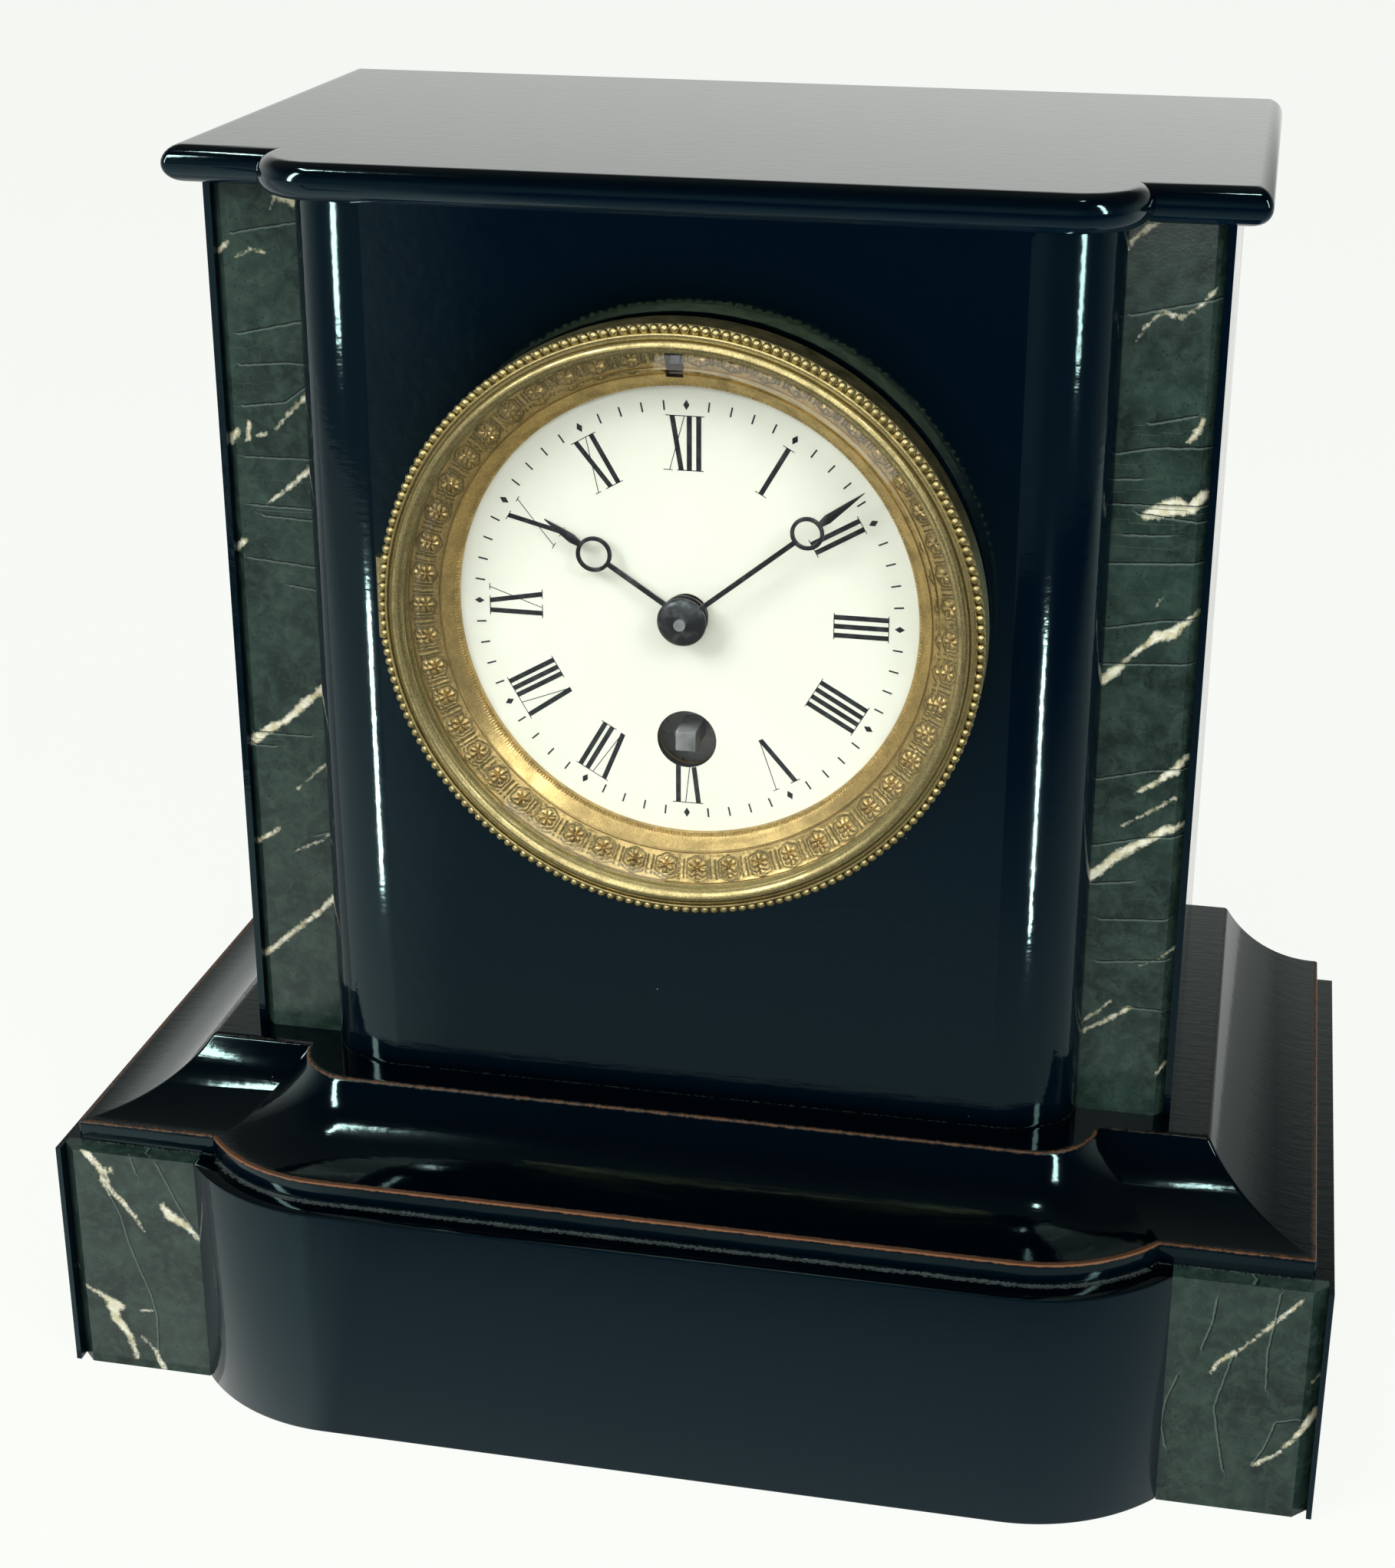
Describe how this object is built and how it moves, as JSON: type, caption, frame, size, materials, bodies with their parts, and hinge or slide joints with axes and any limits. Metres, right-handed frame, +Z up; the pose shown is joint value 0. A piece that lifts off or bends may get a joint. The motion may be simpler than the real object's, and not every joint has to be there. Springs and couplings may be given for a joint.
{
  "type": "mantel clock",
  "caption": "Mantel timepiece with a bow-fronted ebonised case on a moulded base, marble insets, a round enamel dial under a hinged glazed bezel, and a pendulum movement.",
  "frame": {"origin": "on the surface that the clock stands on, below the middle of its outer box", "axes": "+X to the right as the dial is read, +Y towards the back, +Z up"},
  "size_m": [0.2242, 0.1274, 0.2194],
  "materials": {
    "ebonised_wood": "gloss",
    "green_marble": "polished",
    "gilt_brass": "polished",
    "movement_brass": "satin",
    "steel": "satin",
    "blackened_steel": "blued",
    "enamel": "glazed",
    "glass": "bevelled"
  },
  "bodies": {
    "case": {"plinth_front": "ebonised_wood", "plinth_left": "ebonised_wood", "plinth_right": "ebonised_wood", "plinth_back": "ebonised_wood", "plinth_panel_left": "green_marble", "plinth_panel_right": "green_marble", "base_moulding": "ebonised_wood", "case_front": "ebonised_wood", "case_side_left": "ebonised_wood", "case_side_right": "ebonised_wood", "case_back": "ebonised_wood", "pilaster_left": "green_marble", "pilaster_right": "green_marble", "cap_slab": "ebonised_wood", "dial_surround": "gilt_brass", "sight_ring": "gilt_brass", "dial_enamel": "enamel", "dial_plate": "movement_brass", "hinge_pins": "movement_brass", "front_plate": "movement_brass", "back_plate": "movement_brass", "plate_pillars": "movement_brass", "click_spring": "steel", "movement_screws": "steel", "back_cock": "movement_brass", "side_straps": "movement_brass", "back_ring": "gilt_brass"},
    "bezel_frame": {"bezel": "gilt_brass", "bezel_glass": "glass", "glass_retainer": "gilt_brass"},
    "rear_door": {"back_door": "gilt_brass"},
    "spring_barrel": {"barrel": "movement_brass", "barrel_cap": "movement_brass", "mainspring": "steel"},
    "winding": {"winding_arbor": "steel", "ratchet_wheel": "steel"},
    "pawl": {"click": "steel"},
    "intermediate": {"intermediate_wheel": "movement_brass", "intermediate_arbor": "steel"},
    "centre": {"centre_wheel": "movement_brass", "centre_arbor": "steel"},
    "third": {"third_wheel": "movement_brass", "third_arbor": "steel"},
    "escape": {"escape_wheel": "movement_brass", "escape_arbor": "steel"},
    "verge": {"anchor": "steel", "anchor_arbor": "steel", "crutch": "steel"},
    "pendulum": {"suspension_spring": "steel", "pendulum_rod": "steel", "pendulum_bob": "movement_brass"},
    "nut": {"rating_nut": "movement_brass"},
    "regulator": {"regulating_arbor": "steel"},
    "regulator_screw": {"regulating_screw": "steel"},
    "slider": {"suspension_slider": "movement_brass"},
    "minute": {"cannon_pinion": "movement_brass", "minute_hand": "blackened_steel"},
    "motion": {"minute_wheel": "movement_brass"},
    "hour": {"hour_wheel": "movement_brass", "hour_hand": "blackened_steel"}
  },
  "joints": [
    {"name": "bezel_hinge", "type": "hinge", "parent": "case", "child": "bezel_frame", "pos_m": [-0.0508, -0.0359, 0.1482], "axis": [0, 0, -1], "range_deg": [0, 105]},
    {"name": "back_door_hinge", "type": "hinge", "parent": "case", "child": "rear_door", "pos_m": [-0.0436, 0.0619, 0.1482], "axis": [0, 0, 1], "range_deg": [0, 115]},
    {"name": "escape_turn", "type": "hinge", "parent": "case", "child": "escape", "pos_m": [0, -0.0053, 0.169], "axis": [0, 1, 0], "continuous": true},
    {"name": "third_turn", "type": "hinge", "parent": "case", "child": "third", "pos_m": [0.0073, -0.0103, 0.1597], "axis": [0, 1, 0], "continuous": true},
    {"name": "centre_turn", "type": "hinge", "parent": "case", "child": "centre", "pos_m": [0, -0.0203, 0.1482], "axis": [0, 1, 0], "continuous": true},
    {"name": "intermediate_turn", "type": "hinge", "parent": "case", "child": "intermediate", "pos_m": [-0.0116, -0.0173, 0.1397], "axis": [0, 1, 0], "continuous": true},
    {"name": "barrel_turn", "type": "hinge", "parent": "case", "child": "spring_barrel", "pos_m": [0, -0.008, 0.1264], "axis": [0, 1, 0], "continuous": true},
    {"name": "winding_turn", "type": "hinge", "parent": "case", "child": "winding", "pos_m": [0, -0.026, 0.1264], "axis": [0, 1, 0], "continuous": true},
    {"name": "click_lift", "type": "hinge", "parent": "case", "child": "pawl", "pos_m": [0.0096, -0.0262, 0.131], "axis": [0, 1, 0], "range_deg": [-9, 0], "stiffness_Nm_per_rad": 0.0002, "springref_deg": 2.86},
    {"name": "pendulum_swing", "type": "hinge", "parent": "case", "child": "pendulum", "pos_m": [0, 0.0162, 0.1812], "axis": [0, 1, 0], "range_deg": [-2.5, 2.5]},
    {"name": "anchor_swing", "type": "hinge", "parent": "case", "child": "verge", "pos_m": [0, -0.0054, 0.1812], "axis": [0, 1, 0], "range_deg": [-2.5, 2.5]},
    {"name": "rating_nut_turn", "type": "hinge", "parent": "pendulum", "child": "nut", "pos_m": [0, 0.0162, 0.0625], "axis": [0, 0, 1], "range_deg": [-360, 360]},
    {"name": "slider_lift", "type": "slide", "parent": "case", "child": "slider", "axis": [0, 0, 1], "range_m": [-0.0005, 0.0005]},
    {"name": "regulator_turn", "type": "hinge", "parent": "case", "child": "regulator", "pos_m": [-0.0012, -0.03, 0.1902], "axis": [0, 1, 0], "range_deg": [-632, 632]},
    {"name": "regulator_screw_turn", "type": "hinge", "parent": "case", "child": "regulator_screw", "pos_m": [-0.0012, 0.0126, 0.1902], "axis": [0, 0, 1], "range_deg": [-361, 361]},
    {"name": "minute_hand_turn", "type": "hinge", "parent": "case", "child": "minute", "pos_m": [0, -0.0374, 0.1482], "axis": [0, 1, 0], "continuous": true},
    {"name": "minute_wheel_turn", "type": "hinge", "parent": "case", "child": "motion", "pos_m": [0.0083, -0.028, 0.153], "axis": [0, 1, 0], "continuous": true},
    {"name": "hour_hand_turn", "type": "hinge", "parent": "case", "child": "hour", "pos_m": [0, -0.0354, 0.1482], "axis": [0, 1, 0], "continuous": true}
  ],
  "couplings": [
    {"joint": "third_turn", "follows": "escape_turn", "ratio": -0.090909},
    {"joint": "centre_turn", "follows": "escape_turn", "ratio": 0.0075758},
    {"joint": "intermediate_turn", "follows": "escape_turn", "ratio": -0.0015152},
    {"joint": "barrel_turn", "follows": "escape_turn", "ratio": 0.00025253},
    {"joint": "anchor_swing", "follows": "pendulum_swing", "ratio": 1},
    {"joint": "regulator_screw_turn", "follows": "slider_lift", "rad_per_m": 12566},
    {"joint": "regulator_turn", "follows": "slider_lift", "rad_per_m": 21991},
    {"joint": "minute_wheel_turn", "follows": "minute_hand_turn", "ratio": -0.33333},
    {"joint": "hour_hand_turn", "follows": "minute_hand_turn", "ratio": 0.083333}
  ]
}
